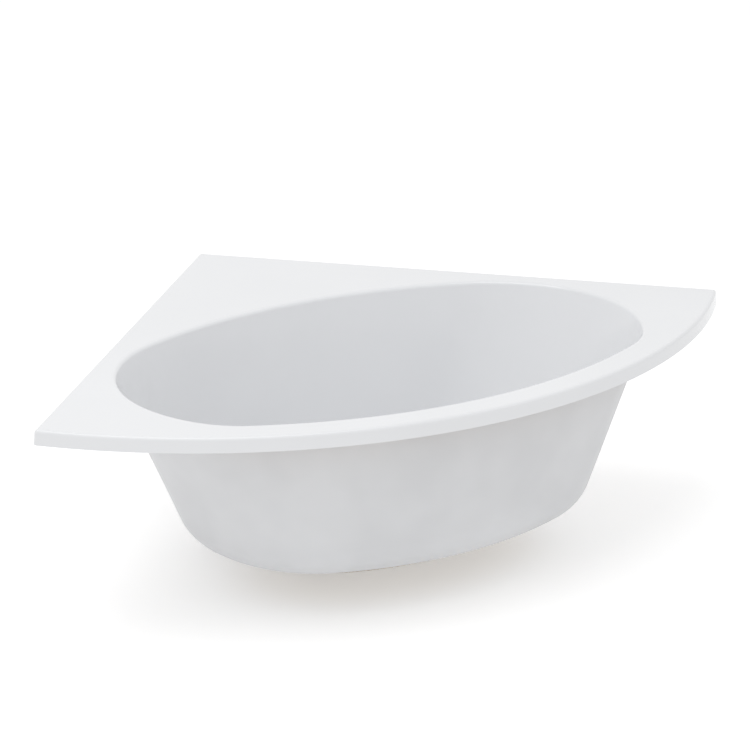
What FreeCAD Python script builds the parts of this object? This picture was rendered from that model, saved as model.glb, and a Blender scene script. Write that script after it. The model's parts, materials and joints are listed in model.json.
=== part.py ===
import FreeCAD, Part
import math
import os
import re

import Sketcher
from FreeCAD import Placement, Rotation, Vector

# Corner bathtub: a formed acrylic shell on an adjustable steel leg set, with a click-clack waste and a trap.
# Millimetres. +Z is up, z = 0 is the room's floor, the room's corner lies towards +Y and the curved front
# towards -Y. The origin is under the middle of the plan.

os.makedirs("parts", exist_ok=True)
doc = FreeCAD.newDocument("corner_bath")

LEVEL_TOLERANCE = 0.01
START_SIZE = 10                     # a sketch's shapes are drawn at this size before their dimensions move them
WALL_TURN = {"right": -45, "left": -135}    # direction of each wall from the room's corner, degrees

# ---------------------------------------------------------------- sizes
FORMULA_WORDS = ("sqrt", "cos", "sin", "tan", "deg")
sizes = doc.addObject("Spreadsheet::Sheet", "Size")

DRIVING = [
    # rim
    ("wall_length", 1400),          # each wall side of the rim
    ("front_radius", 1324),         # curve of the front edge in plan
    ("leg_height", 110),            # underside of the bowl above the room's floor
    ("rim_band", 36.6),             # height of the edge band
    ("rim_draft", 4),               # slope of the edge band, degrees
    ("rim_edge_radius", 9),         # rounding of the rim's top edge and of its three corners
    ("shell_wall", 8),              # acrylic with its bonded backing
    # bowl: opening at the deck, before its edge is rolled
    ("opening_half", 701),
    ("opening_back_ledge", 504.6),  # from the room's corner to the opening
    ("opening_front_ledge", 83),
    ("opening_back_radius", 1245),
    ("opening_front_radius", 1225),
    ("opening_end_radius", 369.6),
    ("opening_turn", -31.4),        # where the end curve hands over to the front corner curve, degrees
    ("roll_radius", 12),            # rolled edge of the opening
    # bowl: floor outline, before the floor curve is rounded
    ("bowl_depth", 440),            # deck top to the outside of the floor
    ("floor_half", 508.5),
    ("floor_back_ledge", 609.4),
    ("floor_front_ledge", 118.7),
    ("floor_back_radius", 1247.7),
    ("floor_front_radius", 849.1),
    ("floor_end_radius", 311),
    ("floor_turn", -10.6),
    ("floor_round", 100.8),          # inside rounding between wall and floor
    ("floor_spread", 6),            # outside outline beyond the inside one at the floor
    # waste
    ("waste_from_corner", 880),     # room's corner to the waste, in plan
    ("recess_radius", 38),
    ("recess_depth", 3),
    ("tail_radius", 23.9),
    ("tail_wall", 3.4),
    ("tail_drop", 45),              # waste tail's end below the bowl's underside
    ("hole_clearance", 1.6),
    ("flange_radius", 35),
    ("flange_seal_depth", 1),
    ("flange_seal_inset", 1),
    ("flange_depth", 2.5),
    ("flange_chamfer", 0.8),
    ("seat_mouth", 25),             # radius of the flange's conical seat at its top
    ("seat_drop", 5.5),
    ("under_seal_depth", 3),
    ("back_nut_depth", 8),
    ("back_nut_radius", 36),        # its flange, against the seal
    ("back_nut_grip", 30),          # the grip below the flange
    ("back_nut_grip_depth", 5),
    ("boss_radius", 7.5),
    ("boss_depth", 6),
    ("boss_drop", 30),              # crossbar below the bowl's underside
    ("arm_width", 4),
    ("barrel_radius", 8),
    ("barrel_bore", 6),
    ("barrel_stub_radius", 4),
    ("barrel_floor", 3),
    ("barrel_length", 28),
    ("plunger_length", 21),
    ("plug_travel", 8),
    ("plug_radius", 30),
    ("plug_chamfer", 1),
    ("plug_edge", 1.6),
    ("plug_shoulder", 24),          # the cap's top: a sloped shoulder and a flatter crown
    ("plug_shoulder_rise", 1.4),
    ("plug_dome", 2.4),
    ("plug_seal_radius", 23.5),
    ("plug_seal_inner", 15),
    ("plug_seal_depth", 2.4),
    ("spring_radius", 5.2),
    ("spring_wire", 0.9),
    ("spring_turns", 4),
    ("running_gap", 0.05),          # radial, between sliding round faces
    ("seat_gap", 0.15),             # between faces that close on each other
    # trap
    ("trap_cup_radius", 35),
    ("trap_riser_radius", 25),
    ("trap_riser_offset", 58),      # inlet axis to riser axis
    ("trap_wall", 3),
    ("trap_base_drop", 58),         # below the waste tail's end
    ("trap_top_drop", 15),
    ("trap_riser_rise", 11),        # above the waste tail's end
    ("trap_collar", 4),
    ("trap_collar_overhang", 1),    # collar beyond the waste tail
    ("dip_drop", 47),               # below the waste tail's end
    ("washer_depth", 3),
    ("union_nut_radius", 31),
    ("union_nut_depth", 20),
    ("outlet_drop", 12),            # below the waste tail's end
    ("outlet_reach", 134),          # inlet axis to the outlet's end
    ("pipe_radius", 20),            # 40 mm waste pipe
    ("pipe_gap", 0.3),
    ("pipe_bore", 17.5),
    ("socket_depth", 28),
    ("outlet_nut_radius", 28),
    ("outlet_nut_depth", 16),
    ("outlet_seal_depth", 4),
    ("clean_cap_radius", 19),
    ("clean_cap_ledge", 4),         # cap beyond its hole
    ("clean_cap_chamfer", 2),
    ("clean_cap_depth", 7),
    ("clean_plug_depth", 6),
    ("clean_seal_depth", 1.5),
    ("clean_seal_inset", 0.5),
    # base board and legs
    ("board_thickness", 18),
    ("board_inset", 105),           # board edge inside the floor outline
    ("board_cutout_radius", 46),
    ("front_foot_x", 185),
    ("front_foot_from_corner", 915),
    ("rear_foot_x", 310),
    ("rear_foot_from_corner", 650),
    ("bar_width", 30),
    ("bar_depth", 12),
    ("bar_wall", 2),
    ("bar_overhang", 28),
    ("rod_radius", 5),              # M10
    ("rod_hole_gap", 1),
    ("rod_top_gap", 3),
    ("rod_chamfer", 1),
    ("weld_nut_depth", 8),
    ("lock_nut_depth", 6),
    ("nut_flats", 17),
    ("pad_radius", 25),
    ("pad_height", 22),
    ("pad_lip", 6),
    ("pad_neck", 10),
    ("pad_socket_floor", 8),
    ("screw_radius", 2.2),
    ("screw_head_radius", 4.6),
    ("screw_head_depth", 2.6),
    ("screw_head_flat", 2.8),
    ("screw_length", 14),
    ("screw_tip", 2),
    ("screw_first", 40),            # first screw from the front foot, along the bar
    ("screw_pitch", 42),
    # battens and wall brackets
    ("batten_width", 25),
    ("batten_height", 30),
    ("batten_gap", 4),              # from the edge band to the batten
    ("batten_start", 70),           # from the room's corner along the wall
    ("batten_end", 75),             # from the side corner along the wall
    ("front_batten_angle", 78),
    ("bracket_from_corner", 430),
    ("bracket_width", 50),
    ("bracket_wall", 3),
    ("bracket_drop", 60),
    ("bracket_hole_radius", 4),
    ("bracket_hole_drop", 40),
    ("bracket_screw_spread", 30),
]

DERIVED = [
    ("rim_half", "wall_length / sqrt(2)"),
    ("rim_rise", "sqrt(front_radius ^ 2 - rim_half ^ 2)"),
    ("rim_depth", "rim_half - rim_rise + front_radius"),
    ("back_y", "( rim_depth + rim_edge_radius * ( sqrt(2) - 1 ) ) / 2"),
    ("front_y", "back_y - rim_depth"),
    ("side_y", "back_y - rim_half"),
    ("front_centre", "side_y + rim_rise"),
    ("shell_bottom", "leg_height"),
    ("deck_height", "leg_height + bowl_depth"),
    ("band_bottom", "deck_height - rim_band"),
    ("deck_underside", "deck_height - shell_wall"),
    ("floor_height", "shell_bottom + shell_wall"),
    ("opening_back", "back_y - opening_back_ledge"),
    ("opening_front", "front_y + opening_front_ledge"),
    ("floor_back", "back_y - floor_back_ledge"),
    ("floor_front", "front_y + floor_front_ledge"),
    ("hollow_radius", "front_radius - shell_wall"),
    ("hollow_back", "back_y - shell_wall * sqrt(2)"),
    ("hollow_span", "hollow_back - front_centre"),
    ("hollow_half", "(hollow_span + sqrt(2 * hollow_radius ^ 2 - hollow_span ^ 2)) / 2"),
    ("hollow_side", "hollow_back - hollow_half"),
    ("hollow_height", "rim_band - shell_wall"),
    ("waste_y", "back_y - waste_from_corner"),
    ("recess_height", "floor_height - recess_depth"),
    ("flange_base", "recess_height + flange_seal_depth"),
    ("flange_top", "flange_base + flange_depth"),
    ("throat_radius", "tail_radius - tail_wall"),
    ("waste_hole_radius", "tail_radius + hole_clearance"),
    ("under_seal_base", "shell_bottom - under_seal_depth"),
    ("back_nut_base", "under_seal_base - back_nut_depth"),
    ("tail_end_height", "shell_bottom - tail_drop"),
    ("boss_height", "shell_bottom - boss_drop"),
    ("boss_top", "boss_height + boss_depth"),
    ("barrel_base", "boss_top + barrel_floor"),
    ("barrel_top", "boss_top + barrel_length"),
    ("plug_base", "flange_top - (seat_mouth - plug_seal_radius) * seat_drop / (seat_mouth - throat_radius)"
                  " + seat_gap + plug_seal_depth + plug_travel"),
    ("plug_seal_base", "plug_base - plug_seal_depth"),
    ("plunger_base", "plug_base - plunger_length"),
    ("spring_base", "barrel_base + seat_gap"),
    ("spring_rise", "plunger_base - barrel_base - spring_wire - 2 * seat_gap"),
    ("trap_inlet_top", "tail_end_height - washer_depth"),
    ("trap_base_height", "tail_end_height - trap_base_drop"),
    ("trap_top_height", "tail_end_height - trap_top_drop"),
    ("trap_riser_height", "tail_end_height + trap_riser_rise"),
    ("dip_height", "tail_end_height - dip_drop"),
    ("outlet_height", "tail_end_height - outlet_drop"),
    ("union_nut_base", "trap_inlet_top - trap_collar - trap_wall"),
    ("socket_radius", "pipe_radius + pipe_gap"),
    ("socket_outer", "socket_radius + trap_wall"),
    ("clean_hole_radius", "clean_cap_radius - clean_cap_ledge"),
    ("clean_cap_base", "trap_riser_height + clean_seal_depth"),
    ("board_base", "shell_bottom - board_thickness"),
    ("bar_base", "board_base - bar_depth"),
    ("weld_nut_base", "board_base - bar_wall - weld_nut_depth"),
    ("lock_nut_base", "weld_nut_base - lock_nut_depth"),
    ("rod_top", "shell_bottom - rod_top_gap"),
    ("front_foot_y", "back_y - front_foot_from_corner"),
    ("rear_foot_y", "back_y - rear_foot_from_corner"),
    ("bar_run", "sqrt((rear_foot_x - front_foot_x) ^ 2 + (rear_foot_y - front_foot_y) ^ 2)"),
    ("bar_angle", "atan((rear_foot_x - front_foot_x) / (rear_foot_y - front_foot_y)) / 1 deg"),
    ("screw_hole_radius", "screw_radius + running_gap"),
    ("screw_base", "board_base - bar_wall - screw_head_depth"),
    ("band_inner", "shell_wall + rim_band * tan(rim_draft)"),
    ("batten_base", "deck_underside - batten_height"),
    ("batten_offset", "band_inner + batten_gap"),
    ("bracket_top", "batten_base"),
    ("bracket_screw_in", "batten_offset + batten_width / 2"),
]
# The two bowl outlines are ovals of six tangent arcs: back, front, two ends and two front corners.
for oval in ("opening", "floor"):
    DERIVED += [(alias.replace("oval", oval), rule.replace("oval", oval)) for alias, rule in (
        ("oval_end_x", "oval_half - oval_end_radius"),
        ("oval_back_centre", "oval_back - oval_back_radius"),
        ("oval_end_y", "oval_back_centre + sqrt((oval_back_radius - oval_end_radius) ^ 2 - oval_end_x ^ 2)"),
        ("oval_front_centre", "oval_front + oval_front_radius"),
        ("oval_reach", "oval_front_radius - oval_end_radius"),
        ("oval_across", "oval_end_y - oval_front_centre"),
        ("oval_step", "(oval_reach ^ 2 - oval_end_x ^ 2 - oval_across ^ 2)"
                      " / (2 * (oval_end_x * cos(oval_turn) + oval_across * sin(oval_turn) - oval_reach))"),
        ("oval_corner_radius", "oval_end_radius - oval_step"),
        ("oval_corner_x", "oval_end_x + oval_step * cos(oval_turn)"),
        ("oval_corner_y", "oval_end_y + oval_step * sin(oval_turn)"),
    )]

row = 0
for alias, value in DRIVING + DERIVED:
    row += 1
    cell = "B%d" % row
    sizes.set("A%d" % row, alias)
    sizes.set(cell, str(value) if not isinstance(value, str) else "=" + value)
    sizes.setAlias(cell, alias)
doc.recompute()


def size(alias):
    """The present value of a named size."""
    value = sizes.get(alias)
    return float(getattr(value, "Value", value))


def rule(text):
    """A formula in plain size names, as an expression on the sheet."""
    return re.sub(r"[a-z_]+", lambda word: word[0] if word[0] in FORMULA_WORDS else "Size." + word[0], text)


def bind(item, **rules):
    """Ties an object's properties to the named sizes; a double underscore stands for a dot."""
    for prop, text in rules.items():
        item.setExpression(prop.replace("__", "."), rule(text))
    return item


# ---------------------------------------------------------------- sketches
def origin_plane(body, role):
    """One of a body's own origin planes, found by its role."""
    for feature in body.Origin.OriginFeatures:
        if feature.Role == role:
            return feature
    raise ValueError("no plane " + role)


def sketch_on(body, name, role="XY_Plane", height=None):
    """An empty sketch on an origin plane, raised to a named height."""
    sketch = body.newObject("Sketcher::SketchObject", name)
    sketch.AttachmentSupport = [(origin_plane(body, role), "")]
    sketch.MapMode = "FlatFace"
    if height:
        bind(sketch, AttachmentOffset__Base__z=height)
    return sketch


def dimension(sketch, text, *constraint):
    """A driving dimension whose value is a formula on the sheet."""
    index = sketch.addConstraint(Sketcher.Constraint(*constraint))
    sketch.setExpression("Constraints[%d]" % index, rule(text))


def circle(sketch, radius, x="0", y="0"):
    """A circle of a named radius at a named place."""
    edge = sketch.addGeometry(Part.Circle(Vector(1, 1, 0), Vector(0, 0, 1), START_SIZE))
    dimension(sketch, radius, "Radius", edge, START_SIZE)
    dimension(sketch, x, "DistanceX", -1, 1, edge, 3, 1)
    dimension(sketch, y, "DistanceY", -1, 1, edge, 3, 1)
    return edge


def polygon(sketch, corners):
    """A closed outline of straight lines; every corner is a pair of formulas."""
    count = len(corners)
    turns = [2 * math.pi * i / count for i in range(count)]
    spots = [Vector(START_SIZE * math.cos(turn), START_SIZE * math.sin(turn), 0) for turn in turns]
    edges = [sketch.addGeometry(Part.LineSegment(spots[i], spots[(i + 1) % count])) for i in range(count)]
    for i in range(count):
        sketch.addConstraint(Sketcher.Constraint("Coincident", edges[i - 1], 2, edges[i], 1))
    for edge, (across, along) in zip(edges, corners):
        dimension(sketch, across, "DistanceX", -1, 1, edge, 1, 1)
        dimension(sketch, along, "DistanceY", -1, 1, edge, 1, 1)


def rim_outline(sketch, half, side, back, radius):
    """Two wall sides at right angles, closed by the curved front; every size is a name on the sheet."""
    reach, height, apex = size(half), size(side), size(back)
    centre = Vector(0, size("front_centre"), 0)
    swing = math.atan2(centre.y - height, reach)
    left, right, corner = Vector(-reach, height, 0), Vector(reach, height, 0), Vector(0, apex, 0)
    wall_left = sketch.addGeometry(Part.LineSegment(corner, left))
    front = sketch.addGeometry(Part.ArcOfCircle(
        Part.Circle(centre, Vector(0, 0, 1), size(radius)), math.pi + swing, 2 * math.pi - swing))
    wall_right = sketch.addGeometry(Part.LineSegment(right, corner))
    sketch.addConstraint(Sketcher.Constraint("Coincident", wall_left, 2, front, 1))
    sketch.addConstraint(Sketcher.Constraint("Coincident", front, 2, wall_right, 1))
    sketch.addConstraint(Sketcher.Constraint("Coincident", wall_right, 2, wall_left, 1))
    dimension(sketch, "0", "DistanceX", -1, 1, wall_left, 1, 0)
    dimension(sketch, back, "DistanceY", -1, 1, wall_left, 1, apex)
    dimension(sketch, "- " + half, "DistanceX", -1, 1, wall_left, 2, -reach)
    dimension(sketch, side, "DistanceY", -1, 1, wall_left, 2, height)
    dimension(sketch, half, "DistanceX", -1, 1, wall_right, 1, reach)
    dimension(sketch, side, "DistanceY", -1, 1, wall_right, 1, height)
    dimension(sketch, radius, "Radius", front, size(radius))


def oval_outline(sketch, oval, grow="0"):
    """Six tangent arcs round a bowl outline, grown outwards by a formula."""
    extra = sum(sign * size(alias) for sign, alias in signed(grow))
    arcs = {}
    back = Vector(0, size(oval + "_back_centre"), 0)
    front = Vector(0, size(oval + "_front_centre"), 0)
    end = Vector(size(oval + "_end_x"), size(oval + "_end_y"), 0)
    corner = Vector(size(oval + "_corner_x"), size(oval + "_corner_y"), 0)
    lean = math.atan2(end.y - back.y, end.x)
    turn = math.radians(size(oval + "_turn"))
    close = math.atan2(corner.y - front.y, corner.x)
    plan = [
        ("back", back, "back_radius", lean, math.pi - lean),
        ("left_end", Vector(-end.x, end.y, 0), "end_radius", math.pi - lean, math.pi - turn),
        ("left_corner", Vector(-corner.x, corner.y, 0), "corner_radius", math.pi - turn, math.pi - close),
        ("front", front, "front_radius", math.pi - close, 2 * math.pi + close),
        ("right_corner", corner, "corner_radius", close, turn),
        ("right_end", end, "end_radius", turn, lean),
    ]
    for name, centre, radius, start, stop in plan:
        circle_of = Part.Circle(centre, Vector(0, 0, 1), size(oval + "_" + radius) + extra)
        arcs[name] = sketch.addGeometry(Part.ArcOfCircle(circle_of, start, stop))
    order = [arcs[name] for name, *_ in plan]
    for this, following in zip(order, order[1:] + order[:1]):
        sketch.addConstraint(Sketcher.Constraint("Tangent", this, 2, following, 1))
    for name, centre, radius, _, _ in plan:
        dimension(sketch, oval + "_" + radius + " + " + grow, "Radius", arcs[name],
                  size(oval + "_" + radius) + extra)
    for name in ("back", "front"):
        sketch.addConstraint(Sketcher.Constraint("PointOnObject", arcs[name], 3, -2))
        dimension(sketch, oval + "_" + name + "_centre", "DistanceY", -1, 1, arcs[name], 3,
                  size(oval + "_" + name + "_centre"))
    dimension(sketch, oval + "_end_x", "DistanceX", -1, 1, arcs["right_end"], 3, end.x)
    dimension(sketch, "- " + oval + "_end_x", "DistanceX", -1, 1, arcs["left_end"], 3, -end.x)


def signed(text):
    """The terms of a sum of names, each with its sign."""
    terms, sign = [], 1
    for word in text.split():
        if word in "+-":
            sign = 1 if word == "+" else -1
        elif word != "0":
            terms.append((sign, word))
            sign = 1
    return terms


# ---------------------------------------------------------------- features
def new_body(label):
    return doc.addObject("PartDesign::Body", label)


def feature(body, kind, name, profile=None, **rules):
    """A PartDesign feature with its sizes tied to the sheet."""
    item = body.newObject("PartDesign::" + kind, name)
    if profile:
        item.Profile = profile
    bind(item, **rules)
    return item


def pad(body, name, profile, length):
    item = feature(body, "Pad", name, profile, Length=length)
    doc.recompute()
    return item


def pocket(body, name, profile, length, reverse=False):
    """A pocket, whose cut is proved by the loss of volume."""
    before = body.Tip.Shape.Volume
    item = feature(body, "Pocket", name, profile, Length=length)
    item.Reversed = reverse
    doc.recompute()
    if item.Shape.Volume >= before:
        raise ValueError(name + " cuts nothing")
    return item


def edges_where(shape, test):
    return ["Edge%d" % (i + 1) for i, edge in enumerate(shape.Edges) if test(edge)]


def faces_where(shape, test):
    return ["Face%d" % (i + 1) for i, face in enumerate(shape.Faces) if test(face)]


def level(piece, height):
    """Whether an edge or face lies flat at a height."""
    box = piece.BoundBox
    return abs(box.ZMin - height) < LEVEL_TOLERANCE and abs(box.ZMax - height) < LEVEL_TOLERANCE


def fillet(body, name, base, edges, radius):
    item = body.newObject("PartDesign::Fillet", name)
    item.Base = (base, edges)
    bind(item, Radius=radius)
    doc.recompute()
    return item


def drafted(body, name, base, bottom):
    """Slopes every upright side of a block inwards, from its bottom face up."""
    item = body.newObject("PartDesign::Draft", name)
    item.Base = (base, faces_where(base.Shape, lambda face: face.BoundBox.ZLength > LEVEL_TOLERANCE))
    item.NeutralPlane = (base, faces_where(base.Shape, lambda face: level(face, bottom)))
    bind(item, Angle="rim_draft")
    doc.recompute()
    return item


def subtract(body, name, tool):
    """Cuts another body out of this one."""
    item = body.newObject("PartDesign::Boolean", name)
    item.Type = "Cut"
    item.setObjects([tool])
    doc.recompute()
    return item


def turned(label, corners, x="0", y="0"):
    """A round piece: a profile of (radius, height) formulas spun about its own upright axis."""
    body = new_body(label)
    sketch = sketch_on(body, label + "_profile", "XZ_Plane")
    polygon(sketch, corners)
    spin = body.newObject("PartDesign::Revolution", label + "_spin")
    spin.Profile = sketch
    spin.ReferenceAxis = (sketch, ["V_Axis"])
    spin.Angle = 360
    bind(body, Placement__Base__x=x, Placement__Base__y=y)
    doc.recompute()
    return body


def bowl_loft(body, name, top_grow, bottom_height, bottom_grow):
    """Straight sloping walls between the opening's oval and the floor's oval."""
    top = sketch_on(body, name + "_top", height="deck_height")
    oval_outline(top, "opening", top_grow)
    floor = sketch_on(body, name + "_floor", height=bottom_height)
    oval_outline(floor, "floor", bottom_grow)
    doc.recompute()
    loft = body.newObject("PartDesign::AdditiveLoft", name)
    loft.Profile = top
    loft.Sections = [floor]
    loft.Ruled = True
    doc.recompute()
    return loft


# ---------------------------------------------------------------- shell
# The acrylic sheet is drawn down into one piece: flat deck, drafted edge band and bowl, 8 mm with its backing.
def make_shell():
    hollow = new_body("rim_hollow_form")
    plan = sketch_on(hollow, "hollow_plan", height="band_bottom")
    rim_outline(plan, "hollow_half", "hollow_side", "hollow_back", "hollow_radius")
    drafted(hollow, "hollow_draft", pad(hollow, "hollow_block", plan, "hollow_height"), size("band_bottom"))

    bowl = new_body("bowl_hollow_form")
    walls = bowl_loft(bowl, "bowl_inside", "0", "floor_height", "0")
    floor_edges = edges_where(walls.Shape, lambda edge: level(edge, size("floor_height")))
    fillet(bowl, "floor_inside_round", walls, floor_edges, "floor_round")

    shell = new_body("bath_shell")
    plan = sketch_on(shell, "rim_plan", height="band_bottom")
    rim_outline(plan, "rim_half", "side_y", "back_y", "front_radius")
    band = drafted(shell, "band_draft", pad(shell, "rim_block", plan, "rim_band"), size("band_bottom"))
    at_deck = size("deck_height") - LEVEL_TOLERANCE
    outer_edges = edges_where(band.Shape, lambda edge: edge.BoundBox.ZMax > at_deck)
    fillet(shell, "rim_edge", band, outer_edges, "rim_edge_radius")
    subtract(shell, "rim_hollow", hollow)
    walls = bowl_loft(shell, "bowl_outside", "shell_wall", "shell_bottom", "floor_spread")
    floor_edges = edges_where(walls.Shape, lambda edge: level(edge, size("shell_bottom")))
    fillet(shell, "floor_outside_round", walls, floor_edges, "floor_round + shell_wall")
    hollowed = subtract(shell, "bowl_hollow", bowl)

    reach = size("opening_half") + LEVEL_TOLERANCE
    front, back = size("opening_front") - LEVEL_TOLERANCE, size("opening_back") + LEVEL_TOLERANCE

    def round_opening(edge):
        ends = edge.Vertexes
        inside = all(abs(end.X) < reach and front < end.Y < back for end in ends)
        return level(edge, size("deck_height")) and inside
    fillet(shell, "opening_roll", hollowed, edges_where(hollowed.Shape, round_opening), "roll_radius")

    recess = sketch_on(shell, "recess_circle", height="floor_height")
    circle(recess, "recess_radius", y="waste_y")
    pocket(shell, "waste_recess", recess, "recess_depth")
    hole = sketch_on(shell, "waste_hole_circle", height="floor_height")
    circle(hole, "waste_hole_radius", y="waste_y")
    pocket(shell, "waste_hole", hole, "shell_wall")
    return shell


# ---------------------------------------------------------------- base board
# An oval board bonded under the flat of the floor. It takes the leg bars' screws and clears the waste's nut.
def make_board():
    board = new_body("base_board")
    plan = sketch_on(board, "board_plan", height="board_base")
    oval_outline(plan, "floor", "- board_inset")
    pad(board, "board", plan, "board_thickness")
    cutout = sketch_on(board, "waste_cutout", height="shell_bottom")
    circle(cutout, "board_cutout_radius", y="waste_y")
    pocket(board, "waste_clearance", cutout, "board_thickness")
    rods = sketch_on(board, "rod_holes", height="shell_bottom")
    for side in ("", "- "):
        circle(rods, "rod_radius + rod_hole_gap", side + "front_foot_x", "front_foot_y")
    pocket(board, "rod_clearance", rods, "board_thickness")
    pilots = sketch_on(board, "screw_holes", height="board_base")
    for side in ("", "- "):
        for place in SCREW_PLACES:
            circle(pilots, "screw_hole_radius", side + "( " + along_bar_x(place) + " )", along_bar_y(place))
    pocket(board, "screw_pilots", pilots, "screw_length", reverse=True)
    return board


# ---------------------------------------------------------------- legs
# Two folded steel channels splay back from the front feet. Each foot is a threaded rod in a welded nut,
# locked by a second nut, and stands on a moulded pad.
SCREW_PLACES = ("screw_first", "screw_first + screw_pitch", "screw_first + 2 * screw_pitch")


def along_bar_x(distance):
    return "front_foot_x + ( " + distance + " ) * sin(bar_angle)"


def along_bar_y(distance):
    return "front_foot_y + ( " + distance + " ) * cos(bar_angle)"


def place_on_bar(body, side):
    """Puts a body drawn with +Y along the bar at the front foot, splayed to its side."""
    bind(body, Placement__Base__x=side + "front_foot_x", Placement__Base__y="front_foot_y")
    body.Placement.Rotation = Rotation(Vector(0, 0, 1), 0)
    turn = "- bar_angle" if side == "" else "bar_angle"
    bind(body, Placement__Rotation__Angle=turn + " * 1 deg")


def make_bar(label, side):
    bar = new_body(label)
    half = "bar_width / 2"
    profile = sketch_on(bar, label + "_section", "XZ_Plane")
    polygon(profile, [
        ("- " + half, "bar_base"), ("- " + half, "board_base"), (half, "board_base"), (half, "bar_base"),
        (half + " - bar_wall", "bar_base"), (half + " - bar_wall", "board_base - bar_wall"),
        ("bar_wall - " + half, "board_base - bar_wall"), ("bar_wall - " + half, "bar_base"),
    ])
    bind(profile, AttachmentOffset__Base__z="bar_overhang")
    channel = feature(bar, "Pad", label + "_channel", profile, Length="bar_run + 2 * bar_overhang")
    channel.Reversed = True
    doc.recompute()
    holes = sketch_on(bar, label + "_rod_holes", height="board_base")
    for distance in ("0", "bar_run"):
        circle(holes, "rod_radius + rod_hole_gap", "0", distance)
    pocket(bar, label + "_rod_openings", holes, "bar_wall")
    pilots = sketch_on(bar, label + "_screw_holes", height="board_base")
    for distance in SCREW_PLACES:
        circle(pilots, "screw_hole_radius", "0", distance)
    pocket(bar, label + "_screw_openings", pilots, "bar_wall")
    place_on_bar(bar, side)
    return bar


def hex_nut(label, base, depth, bore, x, y):
    """A hexagon nut on an upright thread; the flats are a named size."""
    nut = new_body(label)
    plan = sketch_on(nut, label + "_plan", height=base)
    corner = "nut_flats / sqrt(3)"
    polygon(plan, [(corner + " * cos(%d)" % (60 * i), corner + " * sin(%d)" % (60 * i)) for i in range(6)])
    circle(plan, bore)
    pad(nut, label + "_nut", plan, depth)
    bind(nut, Placement__Base__x=x, Placement__Base__y=y)
    return nut


def make_foot(name, side, place):
    """The pad, rod and two nuts of one foot; place is front or rear."""
    x, y = side + place + "_foot_x", place + "_foot_y"
    turned(name + "_pad", [
        ("0", "0"), ("pad_radius", "0"), ("pad_radius", "pad_lip"),
        ("pad_neck", "pad_height"), ("rod_radius", "pad_height"),
        ("rod_radius", "pad_socket_floor"), ("0", "pad_socket_floor"),
    ], x, y)
    turned(name + "_rod", [
        ("0", "pad_socket_floor"), ("rod_radius", "pad_socket_floor"),
        ("rod_radius", "rod_top - rod_chamfer"), ("rod_radius - rod_chamfer", "rod_top"), ("0", "rod_top"),
    ], x, y)
    hex_nut(name + "_weld_nut", "weld_nut_base", "weld_nut_depth", "rod_radius + running_gap", x, y)
    hex_nut(name + "_lock_nut", "lock_nut_base", "lock_nut_depth", "rod_radius + running_gap", x, y)


def screw(label, base, x, y):
    """A pan-head screw driven upwards, its head under the sheet it holds."""
    return turned(label, [
        ("0", base), ("screw_head_flat", base),
        ("screw_head_radius", base + " + screw_head_depth / 2"),
        ("screw_head_radius", base + " + screw_head_depth"),
        ("screw_radius", base + " + screw_head_depth"),
        ("screw_radius", base + " + screw_head_depth + screw_length - screw_tip"),
        ("0", base + " + screw_head_depth + screw_length"),
    ], x, y)


def group(label, members):
    """Like screws kept together as one sub-part of separate solids."""
    compound = doc.addObject("Part::Compound", label)
    compound.Links = members
    doc.recompute()
    return compound


# ---------------------------------------------------------------- battens and wall brackets
# Timber battens stiffen the deck from below; a steel angle under each wall batten fixes the rim to the wall.
def on_wall(body, side):
    """Puts a body drawn with +X along the wall from the room's corner and +Y out from it."""
    bind(body, Placement__Base__y="back_y")
    body.Placement.Rotation = Rotation(Vector(0, 0, 1), WALL_TURN[side])
    return body


def make_side_batten(side):
    batten = new_body("rim_batten_" + side)
    inner = "- ( batten_offset + batten_width )" if side == "right" else "batten_offset + batten_width"
    outer = "- batten_offset" if side == "right" else "batten_offset"
    end = "wall_length - batten_end"
    plan = sketch_on(batten, "batten_plan_" + side, height="batten_base")
    polygon(plan, [("batten_start", outer), (end, outer), (end, inner), ("batten_start", inner)])
    pad(batten, "batten_" + side, plan, "batten_height")
    pilots = sketch_on(batten, "batten_pilots_" + side, height="batten_base")
    middle = "- bracket_screw_in" if side == "right" else "bracket_screw_in"
    for place in BRACKET_SCREWS:
        circle(pilots, "screw_hole_radius", place, middle)
    pocket(batten, "batten_pilot_holes_" + side, pilots, "screw_length", reverse=True)
    return on_wall(batten, side)


BRACKET_SCREWS = ("bracket_from_corner - bracket_screw_spread / 2",
                  "bracket_from_corner + bracket_screw_spread / 2")


def make_front_batten():
    batten = new_body("rim_batten_front")
    section = sketch_on(batten, "front_batten_section", "YZ_Plane")
    outer, inner = "- ( front_radius - batten_offset )", "batten_offset + batten_width - front_radius"
    polygon(section, [(outer, "batten_base"), (inner, "batten_base"),
                      (inner, "deck_underside"), (outer, "deck_underside")])
    sweep = body_spin(batten, "front_batten_curve", section, "front_batten_angle")
    sweep.Midplane = True
    bind(batten, Placement__Base__y="front_centre")
    doc.recompute()
    return batten


def body_spin(body, name, sketch, angle):
    spin = body.newObject("PartDesign::Revolution", name)
    spin.Profile = sketch
    spin.ReferenceAxis = (sketch, ["V_Axis"])
    bind(spin, Angle=angle)
    doc.recompute()
    return spin


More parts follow.
